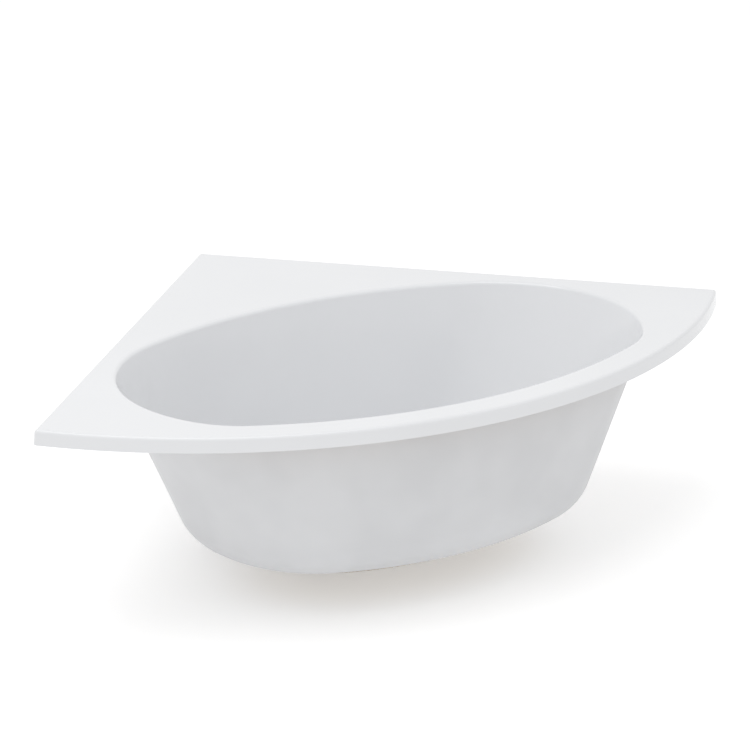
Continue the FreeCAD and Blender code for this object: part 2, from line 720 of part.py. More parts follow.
def make_bracket(side):
    bracket = new_body("wall_bracket_" + side)
    sign = "- " if side == "right" else ""
    inner = sign + "( batten_offset + batten_width )"
    section = sketch_on(bracket, "bracket_section_" + side, "YZ_Plane")
    polygon(section, [
        ("0", "bracket_top"), (inner, "bracket_top"), (inner, "bracket_top - bracket_wall"),
        (sign + "bracket_wall", "bracket_top - bracket_wall"),
        (sign + "bracket_wall", "bracket_top - bracket_drop"),
        ("0", "bracket_top - bracket_drop"),
    ])
    bind(section, AttachmentOffset__Base__z="bracket_from_corner - bracket_width / 2")
    strip = pad(bracket, "bracket_angle_" + side, section, "bracket_width")
    wall_hole = sketch_on(bracket, "bracket_hole_" + side, "XZ_Plane")
    circle(wall_hole, "bracket_hole_radius", "bracket_from_corner", "bracket_top - bracket_hole_drop")
    pocket(bracket, "bracket_wall_hole_" + side, wall_hole, "bracket_wall", reverse=side == "right")
    pilots = sketch_on(bracket, "bracket_screws_" + side, height="bracket_top")
    middle = sign + "bracket_screw_in"
    for place in BRACKET_SCREWS:
        circle(pilots, "screw_hole_radius", place, middle)
    pocket(bracket, "bracket_screw_holes_" + side, pilots, "bracket_wall")
    return on_wall(bracket, side)


def make_bracket_screws():
    """Two screws up through each bracket into its batten."""
    members = []
    for side, lean in (("right", ""), ("left", "- ")):
        for place in BRACKET_SCREWS:
            along = "( " + place + " ) / sqrt(2)"
            into = "bracket_screw_in / sqrt(2)"
            x = lean + "( " + along + " - " + into + " )"
            y = "back_y - " + along + " - " + into
            label = "bracket_screw_%s_%d" % (side, len(members))
            members.append(screw(label, "( bracket_top - bracket_wall - screw_head_depth )", x, y))
    return group("bracket_screws", members)


# ---------------------------------------------------------------- waste
# A chromed flange and threaded tail clamp the floor between two seals and a back nut. A crossbar in the tail
# holds the clicker barrel, in which the plug's plunger slides on a spring.
def make_waste():
    at = {"y": "waste_y"}
    turned("flange_seal", [
        ("waste_hole_radius", "recess_height"), ("flange_radius - flange_seal_inset", "recess_height"),
        ("flange_radius - flange_seal_inset", "flange_base"), ("waste_hole_radius", "flange_base"),
    ], **at)
    body = turned("waste_body", [
        ("tail_radius", "tail_end_height"), ("tail_radius", "flange_base"),
        ("flange_radius", "flange_base"), ("flange_radius", "flange_top - flange_chamfer"),
        ("flange_radius - flange_chamfer", "flange_top"), ("seat_mouth", "flange_top"),
        ("throat_radius", "flange_top - seat_drop"), ("throat_radius", "tail_end_height"),
    ], **at)
    arms = sketch_on(body, "crossbar_arms", height="boss_height")
    reach = "throat_radius + tail_wall / 2"
    polygon(arms, [("- ( " + reach + " )", "- arm_width / 2"), (reach, "- arm_width / 2"),
                   (reach, "arm_width / 2"), ("- ( " + reach + " )", "arm_width / 2")])
    pad(body, "crossbar", arms, "boss_depth")
    across = sketch_on(body, "crossbar_arms_across", height="boss_height")
    polygon(across, [("- arm_width / 2", "- ( " + reach + " )"), ("arm_width / 2", "- ( " + reach + " )"),
                     ("arm_width / 2", reach), ("- arm_width / 2", reach)])
    pad(body, "crossbar_across", across, "boss_depth")
    boss = sketch_on(body, "boss_circle", height="boss_height")
    circle(boss, "boss_radius")
    pad(body, "crossbar_boss", boss, "boss_depth")
    bore = sketch_on(body, "boss_bore_circle", height="boss_top")
    circle(bore, "barrel_stub_radius + running_gap")
    pocket(body, "boss_bore", bore, "boss_depth")
    turned("under_seal", [
        ("tail_radius + seat_gap", "under_seal_base"), ("back_nut_radius", "under_seal_base"),
        ("back_nut_radius", "shell_bottom"), ("tail_radius + seat_gap", "shell_bottom"),
    ], **at)
    turned("back_nut", [
        ("tail_radius + running_gap", "back_nut_base"), ("back_nut_grip", "back_nut_base"),
        ("back_nut_grip", "back_nut_base + back_nut_grip_depth"),
        ("back_nut_radius", "back_nut_base + back_nut_grip_depth"),
        ("back_nut_radius", "under_seal_base"), ("tail_radius + running_gap", "under_seal_base"),
    ], **at)
    turned("clicker_barrel", [
        ("0", "boss_height"), ("barrel_stub_radius", "boss_height"), ("barrel_stub_radius", "boss_top"),
        ("barrel_radius", "boss_top"), ("barrel_radius", "barrel_top"), ("barrel_bore", "barrel_top"),
        ("barrel_bore", "barrel_base"), ("0", "barrel_base"),
    ], **at)
    turned("plug_plunger", [
        ("0", "plunger_base"), ("barrel_bore - running_gap", "plunger_base"),
        ("barrel_bore - running_gap", "plug_base"), ("0", "plug_base"),
    ], **at)
    turned("plug_cap", [
        ("0", "plug_base"), ("plug_radius - plug_chamfer", "plug_base"),
        ("plug_radius", "plug_base + plug_chamfer"), ("plug_radius", "plug_base + plug_edge"),
        ("plug_shoulder", "plug_base + plug_edge + plug_shoulder_rise"),
        ("0", "plug_base + plug_edge + plug_dome"),
    ], **at)
    turned("plug_seal", [
        ("plug_seal_inner", "plug_seal_base"), ("plug_seal_radius", "plug_seal_base"),
        ("plug_seal_radius", "plug_base"), ("plug_seal_inner", "plug_base"),
    ], **at)
    make_spring()


def make_spring():
    """The clicker's return spring, wound of square wire between the barrel's floor and the plunger."""
    spring = new_body("clicker_spring")
    section = sketch_on(spring, "spring_wire_section", "XZ_Plane")
    inner, outer = "spring_radius - spring_wire", "spring_radius"
    polygon(section, [(inner, "spring_base"), (outer, "spring_base"),
                      (outer, "spring_base + spring_wire"), (inner, "spring_base + spring_wire")])
    coil = spring.newObject("PartDesign::AdditiveHelix", "spring_coil")
    coil.Profile = section
    coil.ReferenceAxis = (section, ["V_Axis"])
    coil.Mode = "pitch-height-angle"
    bind(coil, Pitch="spring_rise / spring_turns", Height="spring_rise")
    bind(spring, Placement__Base__y="waste_y")
    doc.recompute()


# ---------------------------------------------------------------- trap
# A shallow trap: the waste dips into a cup of water, which runs up a riser and over to the 40 mm outlet.
def make_trap():
    at = {"y": "waste_y"}
    body = new_body("trap_body")
    cup = sketch_on(body, "cup_plan", height="trap_base_height")
    circle(cup, "trap_cup_radius")
    pad(body, "cup", cup, "trap_top_height - trap_base_height")
    riser = sketch_on(body, "riser_plan", height="trap_base_height")
    circle(riser, "trap_riser_radius", y="trap_riser_offset")
    pad(body, "riser", riser, "trap_riser_height - trap_base_height")
    link = sketch_on(body, "link_plan", height="trap_base_height")
    polygon(link, box_corners("trap_riser_radius", "0", "trap_riser_offset"))
    pad(body, "link", link, "trap_top_height - trap_base_height")
    spout(body, "spout", "pipe_bore + trap_wall", "trap_riser_offset", "outlet_reach")
    spout(body, "socket", "socket_outer", "outlet_reach - socket_depth - trap_wall", "outlet_reach")

    inner = "trap_top_height - trap_base_height - 2 * trap_wall"
    water = sketch_on(body, "cup_water", height="trap_base_height + trap_wall")
    circle(water, "trap_cup_radius - trap_wall")
    pocket(body, "cup_hollow", water, inner, reverse=True)
    water = sketch_on(body, "link_water", height="trap_base_height + trap_wall")
    polygon(water, box_corners("trap_riser_radius - trap_wall", "0", "trap_riser_offset"))
    pocket(body, "link_hollow", water, inner, reverse=True)
    water = sketch_on(body, "riser_water", height="trap_base_height + trap_wall")
    circle(water, "trap_riser_radius - trap_wall", y="trap_riser_offset")
    pocket(body, "riser_hollow", water, "trap_riser_height - trap_base_height - 2 * trap_wall", reverse=True)
    spout(body, "spout_bore", "pipe_bore", "trap_riser_offset", "outlet_reach", cut=True)
    spout(body, "socket_bore", "socket_radius", "outlet_reach - socket_depth", "outlet_reach", cut=True)

    dip = sketch_on(body, "dip_tube", height="dip_height")
    circle(dip, "throat_radius + trap_wall")
    circle(dip, "throat_radius")
    pad(body, "dip", dip, "trap_inlet_top - dip_height")
    collar = sketch_on(body, "collar_ring", height="trap_inlet_top - trap_collar")
    circle(collar, "tail_radius + trap_collar_overhang")
    circle(collar, "throat_radius")
    pad(body, "collar", collar, "trap_collar")
    mouth = sketch_on(body, "inlet_mouth", height="trap_inlet_top")
    circle(mouth, "throat_radius")
    pocket(body, "inlet_bore", mouth, "trap_inlet_top - dip_height")
    hatch = sketch_on(body, "clean_hatch", height="trap_riser_height")
    circle(hatch, "clean_hole_radius", y="trap_riser_offset")
    pocket(body, "clean_opening", hatch, "2 * trap_wall")
    bind(body, Placement__Base__y="waste_y")

    turned("trap_washer", ring("throat_radius", "tail_radius", "trap_inlet_top", "tail_end_height"), **at)
    turned("trap_union_nut", [
        ("throat_radius + trap_wall + seat_gap", "union_nut_base"), ("union_nut_radius", "union_nut_base"),
        ("union_nut_radius", "union_nut_base + union_nut_depth"),
        ("tail_radius + running_gap", "union_nut_base + union_nut_depth"),
        ("tail_radius + running_gap", "tail_end_height"),
        ("tail_radius + trap_collar_overhang + seat_gap", "tail_end_height"),
        ("tail_radius + trap_collar_overhang + seat_gap", "trap_inlet_top - trap_collar"),
        ("throat_radius + trap_wall + seat_gap", "trap_inlet_top - trap_collar"),
    ], **at)
    riser_at = {"y": "waste_y + trap_riser_offset"}
    turned("clean_cap_seal", ring("clean_hole_radius + clean_seal_inset", "clean_cap_radius - clean_seal_inset",
                                  "trap_riser_height", "clean_cap_base"), **riser_at)
    turned("clean_cap", [
        ("0", "trap_riser_height - clean_plug_depth"),
        ("clean_hole_radius - running_gap", "trap_riser_height - clean_plug_depth"),
        ("clean_hole_radius - running_gap", "clean_cap_base"), ("clean_cap_radius", "clean_cap_base"),
        ("clean_cap_radius", "clean_cap_base + clean_cap_depth - clean_cap_chamfer"),
        ("clean_cap_radius - clean_cap_chamfer", "clean_cap_base + clean_cap_depth"),
        ("0", "clean_cap_base + clean_cap_depth"),
    ], **riser_at)

    # The outlet's seal and nut lie along +Y, in front of the socket.
    lying = {"y": "waste_y + outlet_reach", "height": "outlet_height"}
    lying_turned("outlet_seal", ring("socket_radius", "socket_outer", "0", "outlet_seal_depth"), **lying)
    lying_turned("outlet_nut", [
        ("socket_outer + seat_gap", "outlet_seal_depth - outlet_nut_depth"),
        ("outlet_nut_radius", "outlet_seal_depth - outlet_nut_depth"),
        ("outlet_nut_radius", "outlet_seal_depth + trap_wall"),
        ("socket_radius", "outlet_seal_depth + trap_wall"), ("socket_radius", "outlet_seal_depth"),
        ("socket_outer + seat_gap", "outlet_seal_depth"),
    ], **lying)


def ring(inner, outer, base, top):
    return [(inner, base), (outer, base), (outer, top), (inner, top)]


def box_corners(half, start, end):
    return [("- ( " + half + " )", start), (half, start), (half, end), ("- ( " + half + " )", end)]


def spout(body, name, radius, start, end, cut=False):
    """A round length along +Y at the outlet's height, added or bored."""
    sketch = sketch_on(body, name + "_circle", "XZ_Plane")
    circle(sketch, radius, "0", "outlet_height")
    bind(sketch, AttachmentOffset__Base__z="- ( " + start + " )")
    length = "( " + end + " ) - ( " + start + " )"
    before = body.Tip.Shape.Volume
    item = feature(body, "Pocket" if cut else "Pad", name, sketch, Length=length)
    item.Reversed = not cut
    doc.recompute()
    if (item.Shape.Volume < before) != cut:
        raise ValueError(name + " points the wrong way")
    return item


def lying_turned(label, corners, y, height):
    """A round piece whose axis points along +Y."""
    body = turned(label, corners, y=y)
    bind(body, Placement__Base__z=height)
    body.Placement.Rotation = Rotation(Vector(1, 0, 0), -90)
    return body


# ---------------------------------------------------------------- assembly
SIDES = (("left", "- "), ("right", ""))
make_shell()
make_board()
for side_name, sign in SIDES:
    make_side_batten(side_name)
    make_bracket(side_name)
    make_bar("leg_bar_" + side_name, sign)
    for end_name in ("front", "rear"):
        make_foot("foot_%s_%s" % (end_name, side_name), sign, end_name)
make_front_batten()
make_bracket_screws()
group("leg_bar_screws", [
    screw("bar_screw_%s_%d" % (side_name, count), "screw_base",
          sign + "( " + along_bar_x(place) + " )", along_bar_y(place))
    for side_name, sign in SIDES for count, place in enumerate(SCREW_PLACES)
])
make_waste()
make_trap()
doc.recompute()

NODES = (
    ["bath_shell", "base_board", "rim_batten_left", "rim_batten_right", "rim_batten_front"]
    + ["wall_bracket_left", "wall_bracket_right", "bracket_screws"]
    + ["leg_bar_left", "leg_bar_right", "leg_bar_screws"]
    + ["foot_%s_%s_%s" % (end, side, piece) for end in ("front", "rear") for side in ("left", "right")
       for piece in ("pad", "rod", "weld_nut", "lock_nut")]
    + ["flange_seal", "waste_body", "under_seal", "back_nut", "clicker_barrel", "clicker_spring"]
    + ["plug_plunger", "plug_cap", "plug_seal"]
    + ["trap_washer", "trap_union_nut", "trap_body", "clean_cap_seal", "clean_cap", "outlet_seal", "outlet_nut"]
)


def check_document():
    """Every object is up to date and every sub-part is one or more valid solids."""
    for item in doc.Objects:
        if "Invalid" in item.State or "Error" in item.State:
            raise ValueError(item.Label + " failed: " + str(item.State))
    for node in NODES:
        shape = doc.getObjectsByLabel(node)[0].Shape
        if shape.isNull() or not shape.isValid() or not shape.Solids:
            raise ValueError(node + " has no valid solid")


check_document()
for node in NODES:
    doc.getObjectsByLabel(node)[0].Shape.exportStep("parts/" + node + ".step")
print(len(NODES), "sub-parts written")
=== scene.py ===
import json
import math

import bmesh
import bpy
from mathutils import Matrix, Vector

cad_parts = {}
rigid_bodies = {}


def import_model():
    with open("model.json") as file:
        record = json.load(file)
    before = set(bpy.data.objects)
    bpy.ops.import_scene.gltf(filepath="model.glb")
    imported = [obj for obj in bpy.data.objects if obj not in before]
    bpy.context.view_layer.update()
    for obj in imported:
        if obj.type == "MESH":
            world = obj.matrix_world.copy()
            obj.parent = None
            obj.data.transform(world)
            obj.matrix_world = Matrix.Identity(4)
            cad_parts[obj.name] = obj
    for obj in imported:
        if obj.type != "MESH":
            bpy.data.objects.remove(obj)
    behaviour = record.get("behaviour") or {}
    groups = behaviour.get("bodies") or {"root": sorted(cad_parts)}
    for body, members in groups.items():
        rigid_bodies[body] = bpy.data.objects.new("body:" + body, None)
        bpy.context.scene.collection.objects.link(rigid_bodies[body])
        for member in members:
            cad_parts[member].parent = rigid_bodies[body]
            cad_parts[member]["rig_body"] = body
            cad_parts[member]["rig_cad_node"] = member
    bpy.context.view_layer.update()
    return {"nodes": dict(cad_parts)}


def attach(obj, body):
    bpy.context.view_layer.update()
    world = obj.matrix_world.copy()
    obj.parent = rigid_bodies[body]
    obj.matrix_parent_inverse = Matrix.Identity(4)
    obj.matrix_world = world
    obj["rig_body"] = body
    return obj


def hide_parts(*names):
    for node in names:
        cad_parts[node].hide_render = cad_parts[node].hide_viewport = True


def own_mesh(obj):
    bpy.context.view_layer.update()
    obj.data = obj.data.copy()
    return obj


# Corner bathtub on its leg set, in metres. +Z is up, z = 0 is the room's floor, +Y is the room's corner.
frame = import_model()
nodes = frame["nodes"]


# ---------------------------------------------------------------- bath shell
# One acrylic sheet, drawn down hot into a deep oval basin, with a flat deck and a slightly sloped edge band.
# It is laid out ring by ring, the band up to the deck and the basin down to its floor, then thickened
# downwards. Its underside is glass fibre and resin, sprayed on, coloured darker than the acrylic partly as
# painted shade.
WALL_LENGTH = 1.400
WALL_TURN = math.pi / 4
FRONT_RADIUS = 1.324
DECK = 0.550
BAND_HEIGHT = 0.0366
BAND_SLOPE = math.radians(4)
RIM_ROUND = 0.009
BOWL_DEPTH = 0.432
SHELL_WALL = 0.008
ROLL_ROUND = 0.012
FLOOR_ROUND = 0.1008
FLAT_STRIP = 0.006
WASTE_FROM_CORNER = 0.880
RECESS_RADIUS = 0.038
RECESS_DEPTH = 0.003
HOLE_RADIUS = 0.0255

FLOOR = DECK - BOWL_DEPTH
UNDERSIDE = FLOOR - SHELL_WALL
CORNER_REACH = WALL_LENGTH / math.sqrt(2)
FRONT_RISE = math.sqrt(FRONT_RADIUS ** 2 - CORNER_REACH ** 2)
PLAN_DEPTH = CORNER_REACH - FRONT_RISE + FRONT_RADIUS
BACK = (PLAN_DEPTH + RIM_ROUND * (math.sqrt(2) - 1)) / 2
FRONT = BACK - PLAN_DEPTH
FRONT_CENTRE = Vector((0, FRONT + FRONT_RADIUS))
WASTE = Vector((0, BACK - WASTE_FROM_CORNER))
UP = Vector((0, 0, 1))

# How finely each stretch is divided, and how often a rolling ball's touch is worked out again.
APEX_STEPS = 8
TIP_STEPS = 10
FRONT_STEPS = 120
RIM_STEPS = 8
LONG_ARC_STEPS = 56
END_ARC_STEPS = 44
CORNER_ARC_STEPS = 16
ROLL_STEPS = 8
WALL_STEPS = 8
FLOOR_STEPS = 20
DRAIN_STEPS = 96
TOUCH_PASSES = 3

# The least rounding a corner keeps, how near points merge, and how near a height counts as on it.
LEAST_ROUND = 1e-5
MERGE_REACH = 5e-5
LEVEL_REACH = 1e-4
EDGE_REACH = 1e-3

# How far the normal of an upright, a level and a downward face rises or falls.
UPRIGHT_MOST = 0.5
LEVEL_LEAST = 0.9
DOWNWARD_LEAST = 0.03


def arc(centre, radius, start, stop, steps):
    """Points along an arc in plan, without its last one."""
    turns = [start + (stop - start) * step / steps for step in range(steps)]
    return [Vector((centre.x + radius * math.cos(turn), centre.y + radius * math.sin(turn)))
            for turn in turns]


def at_height(outline, height):
    return [Vector((point.x, point.y, height)) for point in outline]


def rim_ring(inset, rounding):
    """The rim's outline in plan, moved in from the wall sides and the front, with rounded corners."""
    depth = inset + rounding
    apex = Vector((0, BACK - depth * math.sqrt(2)))
    reach = FRONT_RADIUS - depth
    lean = (BACK - FRONT_CENTRE.y - depth * math.sqrt(2)) / math.sqrt(2)
    swing = WALL_TURN - math.acos(lean / reach)
    right = FRONT_CENTRE + reach * Vector((math.cos(swing), math.sin(swing)))
    left = Vector((-right.x, right.y))
    outline = arc(apex, rounding, WALL_TURN, math.pi - WALL_TURN, APEX_STEPS)
    outline += arc(left, rounding, math.pi - WALL_TURN, math.pi - swing, TIP_STEPS)
    outline += arc(FRONT_CENTRE, FRONT_RADIUS - inset, math.pi - swing, 2 * math.pi + swing, FRONT_STEPS)
    outline += arc(right, rounding, swing, WALL_TURN, TIP_STEPS)
    return outline


def rim_levels():
    """The rim's rings, from the band's bottom edge over its rounding to the flat deck."""
    band_turn = math.pi / 2 - BAND_SLOPE
    round_reach = BAND_HEIGHT * math.tan(BAND_SLOPE) + RIM_ROUND * math.tan(band_turn / 2)
    rings = [at_height(rim_ring(0, RIM_ROUND), DECK - BAND_HEIGHT)]
    for step in range(RIM_STEPS + 1):
        angle = band_turn * (1 - step / RIM_STEPS)
        rounding = max(RIM_ROUND * math.sin(angle), LEAST_ROUND)
        outline = rim_ring(round_reach - RIM_ROUND * math.sin(angle), rounding)
        rings.append(at_height(outline, DECK - RIM_ROUND * (1 - math.cos(angle))))
    return rings


def basin_outline(half, back, front, back_radius, front_radius, end_radius, turn_degrees):
    """Six tangent arcs round the basin: back, two ends, two front corners and front."""
    turn = math.radians(turn_degrees)
    end = Vector((half - end_radius, 0))
    back_centre = Vector((0, back - back_radius))
    front_centre = Vector((0, front + front_radius))
    end.y = back_centre.y + math.sqrt((back_radius - end_radius) ** 2 - end.x ** 2)
    reach = front_radius - end_radius
    across = end.y - front_centre.y
    step = (reach ** 2 - end.x ** 2 - across ** 2) / (
        2 * (end.x * math.cos(turn) + across * math.sin(turn) - reach))
    corner = end + step * Vector((math.cos(turn), math.sin(turn)))
    corner_radius = end_radius - step
    left_end = Vector((-end.x, end.y))
    left_corner = Vector((-corner.x, corner.y))
    lean = math.atan2(end.y - back_centre.y, end.x)
    close = math.atan2(corner.y - front_centre.y, corner.x)
    outline = arc(back_centre, back_radius, lean, math.pi - lean, LONG_ARC_STEPS)
    outline += arc(left_end, end_radius, math.pi - lean, math.pi - turn, END_ARC_STEPS)
    outline += arc(left_corner, corner_radius, math.pi - turn, math.pi - close, CORNER_ARC_STEPS)
    outline += arc(front_centre, front_radius, math.pi - close, 2 * math.pi + close, LONG_ARC_STEPS)
    outline += arc(corner, corner_radius, close, turn, CORNER_ARC_STEPS)
    outline += arc(end, end_radius, turn, lean, END_ARC_STEPS)
    return outline


opening = basin_outline(half=0.701, back=BACK - 0.5046, front=FRONT + 0.083,
                        back_radius=1.245, front_radius=1.225, end_radius=0.3696, turn_degrees=-31.4)
floor_outline = basin_outline(half=0.5085, back=BACK - 0.6094, front=FRONT + 0.1187,
                              back_radius=1.2477, front_radius=0.8491, end_radius=0.311, turn_degrees=-10.6)
tops = at_height(opening, DECK)
bottoms = at_height(floor_outline, FLOOR)


def on_wall(heights):
    """Where each straight line down the sloping wall passes its own height."""
    return [top.lerp(bottom, (DECK - height) / (DECK - FLOOR))
            for top, bottom, height in zip(tops, bottoms, heights)]


def wall_normals(ring):
    """The wall's normals at a ring of points on it, facing into the basin."""
    normals = []
    for index, point in enumerate(ring):
        before = point - ring[index - 1]
        after = ring[(index + 1) % len(ring)] - point
        along = before * (after.length / before.length) + after * (before.length / after.length)
        normals.append((tops[index] - bottoms[index]).cross(along).normalized())
    return normals


def touching_ring(level, radius, side):
    """Where a ball rolled between the wall and a level plane touches the wall, and its normals there."""
    heights = [level + side * radius] * len(tops)
    for _ in range(TOUCH_PASSES):
        normals = wall_normals(on_wall(heights))
        heights = [level + side * radius * (1 - normal.z) for normal in normals]
    return on_wall(heights), normals


def basin_levels():
    """The basin's rings, from the flat deck over the roll, down the wall and round to the flat floor."""
    high, high_normals = touching_ring(DECK, ROLL_ROUND, -1)
    low, low_normals = touching_ring(FLOOR, FLOOR_ROUND, 1)
    rings = []
    for step in range(ROLL_STEPS + 1):
        rings.append([point + ROLL_ROUND * (UP.slerp(normal, step / ROLL_STEPS) - normal)
                      for point, normal in zip(high, high_normals)])
    for step in range(1, WALL_STEPS):
        rings.append([above.lerp(below, step / WALL_STEPS) for above, below in zip(high, low)])
    for step in range(FLOOR_STEPS + 1):
        rings.append([point + FLOOR_ROUND * (normal - normal.slerp(UP, step / FLOOR_STEPS))
                      for point, normal in zip(low, low_normals)])
    rings.append([point + FLAT_STRIP * Vector((normal.x, normal.y, 0)).normalized()
                  for point, normal in zip(rings[-1], low_normals)])
    return rings


def drain_levels():
    """The waste's recess and hole, from the floor down to the shell's underside."""
    places = ((RECESS_RADIUS, FLOOR), (RECESS_RADIUS, FLOOR - RECESS_DEPTH),
              (HOLE_RADIUS, FLOOR - RECESS_DEPTH), (HOLE_RADIUS, UNDERSIDE))
    return [at_height(arc(WASTE, radius, 0, 2 * math.pi, DRAIN_STEPS), height) for radius, height in places]


def deselect_all():
    bpy.ops.object.select_all(action="DESELECT")


def make_active(piece):
    deselect_all()
    piece.select_set(True)
    bpy.context.view_layer.objects.active = piece


def lay_ring(piece, points):
    """Puts the selected ring's vertices on the points of their stations."""
    mesh = bmesh.from_edit_mesh(piece.data)
    station = mesh.verts.layers.int["station"]
    for vertex in mesh.verts:
        if vertex.select:
            vertex.co = points[vertex[station]]
    bmesh.update_edit_mesh(piece.data)


def extrude_levels(name, levels):
    """A wall through rings of points: marked vertices are laid on the first and extruded to the rest."""
    deselect_all()
    bpy.ops.mesh.primitive_circle_add(vertices=len(levels[0]), radius=1)
    piece = bpy.context.active_object
    piece.name = name
    piece.data.name = name
    bpy.ops.object.mode_set(mode="EDIT")
    bpy.ops.mesh.select_mode(type="VERT")
    bpy.ops.mesh.select_all(action="SELECT")
    mesh = bmesh.from_edit_mesh(piece.data)
    station = mesh.verts.layers.int.new("station")
    for index, vertex in enumerate(mesh.verts):
        vertex[station] = index
    lay_ring(piece, levels[0])
    for points in levels[1:]:
        bpy.ops.mesh.extrude_region_move()
        lay_ring(piece, points)
    bpy.ops.object.mode_set(mode="OBJECT")
    return piece


def join_into(piece, other):
    deselect_all()
    other.select_set(True)
    piece.select_set(True)
    bpy.context.view_layer.objects.active = piece
    bpy.ops.object.join()


def merge_close(piece, distance):
    make_active(piece)
    bpy.ops.object.mode_set(mode="EDIT")
    bpy.ops.mesh.select_all(action="SELECT")
    bpy.ops.mesh.remove_doubles(threshold=distance)
    bpy.ops.object.mode_set(mode="OBJECT")


def fill_level(piece, height):
    """Fills the plane between the active piece's open edges at a height."""
    bpy.ops.object.mode_set(mode="EDIT")
    bpy.ops.mesh.select_mode(type="EDGE")
    bpy.ops.mesh.select_all(action="DESELECT")
    mesh = bmesh.from_edit_mesh(piece.data)
    for edge in mesh.edges:
        if edge.is_boundary and all(abs(end.co.z - height) < LEVEL_REACH for end in edge.verts):
            edge.select_set(True)
    bmesh.update_edit_mesh(piece.data)
    bpy.ops.mesh.fill(use_beauty=True)
    bpy.ops.mesh.select_all(action="SELECT")
    bpy.ops.mesh.normals_make_consistent(inside=False)
    bpy.ops.object.mode_set(mode="OBJECT")


# The deck fills the plane between rim and basin, and the sheet is thickened downwards.
shell = extrude_levels("rim", rim_levels())
join_into(shell, extrude_levels("basin", basin_levels()))
shell.name = "shell"
merge_close(shell, MERGE_REACH)
fill_level(shell, DECK)
wall = shell.modifiers.new("wall", "SOLIDIFY")
wall.thickness = SHELL_WALL
wall.offset = -1
wall.use_even_offset = True
make_active(shell)
bpy.ops.object.modifier_apply(modifier=wall.name)

# The thickened sheet's edge round the flat of the floor goes, and the floor and the drain close the gap.
bpy.ops.object.mode_set(mode="EDIT")
bpy.ops.mesh.select_mode(type="FACE")
bpy.ops.mesh.select_all(action="DESELECT")
mesh = bmesh.from_edit_mesh(shell.data)
for face in mesh.faces:
    half_way = abs(face.calc_center_median().z - (FLOOR + UNDERSIDE) / 2) < EDGE_REACH
    if half_way and abs(face.normal.z) < UPRIGHT_MOST:
        face.select_set(True)
bmesh.update_edit_mesh(shell.data)
bpy.ops.mesh.delete(type="FACE")
bpy.ops.object.mode_set(mode="OBJECT")
join_into(shell, extrude_levels("drain", drain_levels()))
fill_level(shell, FLOOR)
fill_level(shell, UNDERSIDE)

# Every face that looks down is backing, but for the cut edge of the band. The backing's darker colour on
# these faces is partly painted shade.
BACKING_AND_SHADE_SLOT = 1
for face in shell.data.polygons:
    at_band_foot = abs(face.center.z - (DECK - BAND_HEIGHT)) < EDGE_REACH
    cut_edge = at_band_foot and face.normal.z < -LEVEL_LEAST
    if face.normal.z < -DOWNWARD_LEAST and not cut_edge:
        face.material_index = BACKING_AND_SHADE_SLOT

# Smooth shading, in which the large flat faces keep their own normals.
SMOOTH_ANGLE = math.radians(35)
make_active(shell)
bpy.ops.object.shade_smooth_by_angle(angle=SMOOTH_ANGLE)
weighted = shell.modifiers.new("weighted", "WEIGHTED_NORMAL")
weighted.keep_sharp = True
weighted.weight = 100
bpy.ops.object.modifier_apply(modifier=weighted.name)
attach(shell, "bath")
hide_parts("bath_shell")


def mottle_group():
    """Two soft values that drift over a surface: a broad one for colour and a fine one for roughness."""
    group = bpy.data.node_groups.new("mottle", "ShaderNodeTree")
    group.interface.new_socket("Vector", in_out="INPUT", socket_type="NodeSocketVector")
    for name in ("Broad scale", "Fine scale"):
        group.interface.new_socket(name, in_out="INPUT", socket_type="NodeSocketFloat")
    for name in ("Broad", "Fine"):
        group.interface.new_socket(name, in_out="OUTPUT", socket_type="NodeSocketFloat")
    entry = group.nodes.new("NodeGroupInput")
    leave = group.nodes.new("NodeGroupOutput")
    for name, detail in (("Broad", 2.0), ("Fine", 4.0)):
        noise = group.nodes.new("ShaderNodeTexNoise")
        noise.inputs["Detail"].default_value = detail
        group.links.new(entry.outputs["Vector"], noise.inputs["Vector"])
        group.links.new(entry.outputs[name + " scale"], noise.inputs["Scale"])
        group.links.new(noise.outputs["Fac"], leave.inputs[name])
    return group


MOTTLE = mottle_group()


def new_material(name):
    """An empty material with its node tree, its shader and the object's own coordinates."""
    material = bpy.data.materials.new(name)
    material.use_nodes = True
    tree = material.node_tree
    place = tree.nodes.new("ShaderNodeTexCoord")
    return material, tree, tree.nodes["Principled BSDF"], place.outputs["Object"]


def mottled(tree, vector, broad, fine):
    """The two drifting values, placed in a material with its own scales."""
    drift = tree.nodes.new("ShaderNodeGroup")
    drift.node_tree = MOTTLE
    drift.inputs["Broad scale"].default_value = broad
    drift.inputs["Fine scale"].default_value = fine
    tree.links.new(vector, drift.inputs["Vector"])
    return drift


def blend_colour(tree, shader, value, shades, between=(0.35, 0.65)):
    """A base colour that runs from one shade to another as a value rises between two others."""
    ramp = tree.nodes.new("ShaderNodeValToRGB")
    for stop, position, shade in zip(ramp.color_ramp.elements, between, shades):
        stop.position = position
        stop.color = (*shade, 1)
    tree.links.new(value, ramp.inputs["Fac"])
    tree.links.new(ramp.outputs["Color"], shader.inputs["Base Color"])


def spread(tree, value, reach, socket):
    """A value from 0 to 1, spread over a reach of its own and led to a socket."""
    scaled = tree.nodes.new("ShaderNodeMapRange")
    for name, limit in zip(("To Min", "To Max"), reach):
        scaled.inputs[name].default_value = limit
    tree.links.new(value, scaled.inputs["Value"])
    tree.links.new(scaled.outputs["Result"], socket)


def relief(tree, shader, value, depth, strength):
    """Fine relief from a height value, by a depth in metres."""
    bump = tree.nodes.new("ShaderNodeBump")
    bump.inputs["Strength"].default_value = strength
    bump.inputs["Distance"].default_value = depth
    tree.links.new(value, bump.inputs["Height"])
    tree.links.new(bump.outputs["Normal"], shader.inputs["Normal"])


def cells(tree, vector, scale, feature="F1"):
    """A pattern of small cells, for chopped fibres and flakes."""
    pattern = tree.nodes.new("ShaderNodeTexVoronoi")
    pattern.feature = feature
    pattern.inputs["Scale"].default_value = scale
    tree.links.new(vector, pattern.inputs["Vector"])
    return pattern


